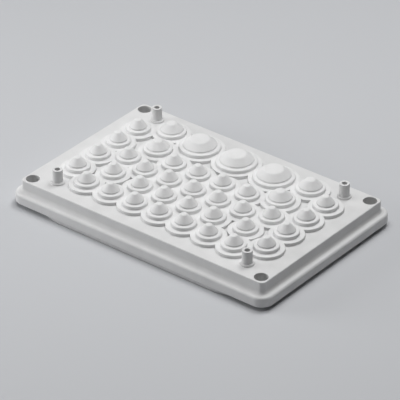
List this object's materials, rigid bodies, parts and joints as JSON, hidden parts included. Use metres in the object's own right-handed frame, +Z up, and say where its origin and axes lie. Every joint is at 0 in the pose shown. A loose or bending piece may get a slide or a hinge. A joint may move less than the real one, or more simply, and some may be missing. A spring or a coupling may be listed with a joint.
{
  "type": "cable pass-through plate",
  "caption": "Rectangular moulded plate with a soft mat of stepped, coned membranes for cables, screw wells in its corners, hollow posts and a seal under its flange.",
  "frame": {"origin": "middle of the plate in plan, on the underside of the seal", "axes": "+X along the long side, +Y across the plate towards the large membranes, +Z up towards the tips of the membranes"},
  "size_m": [0.232, 0.1514, 0.0314],
  "materials": {
    "frame_plastic": "fine matte moulded light grey",
    "mat_soft": "soft matte moulded light grey",
    "seal_soft": "soft matte light grey"
  },
  "bodies": {
    "root": {"plate_frame": "frame_plastic", "membrane_mat": "mat_soft", "flange_seal": "seal_soft"}
  },
  "joints": []
}
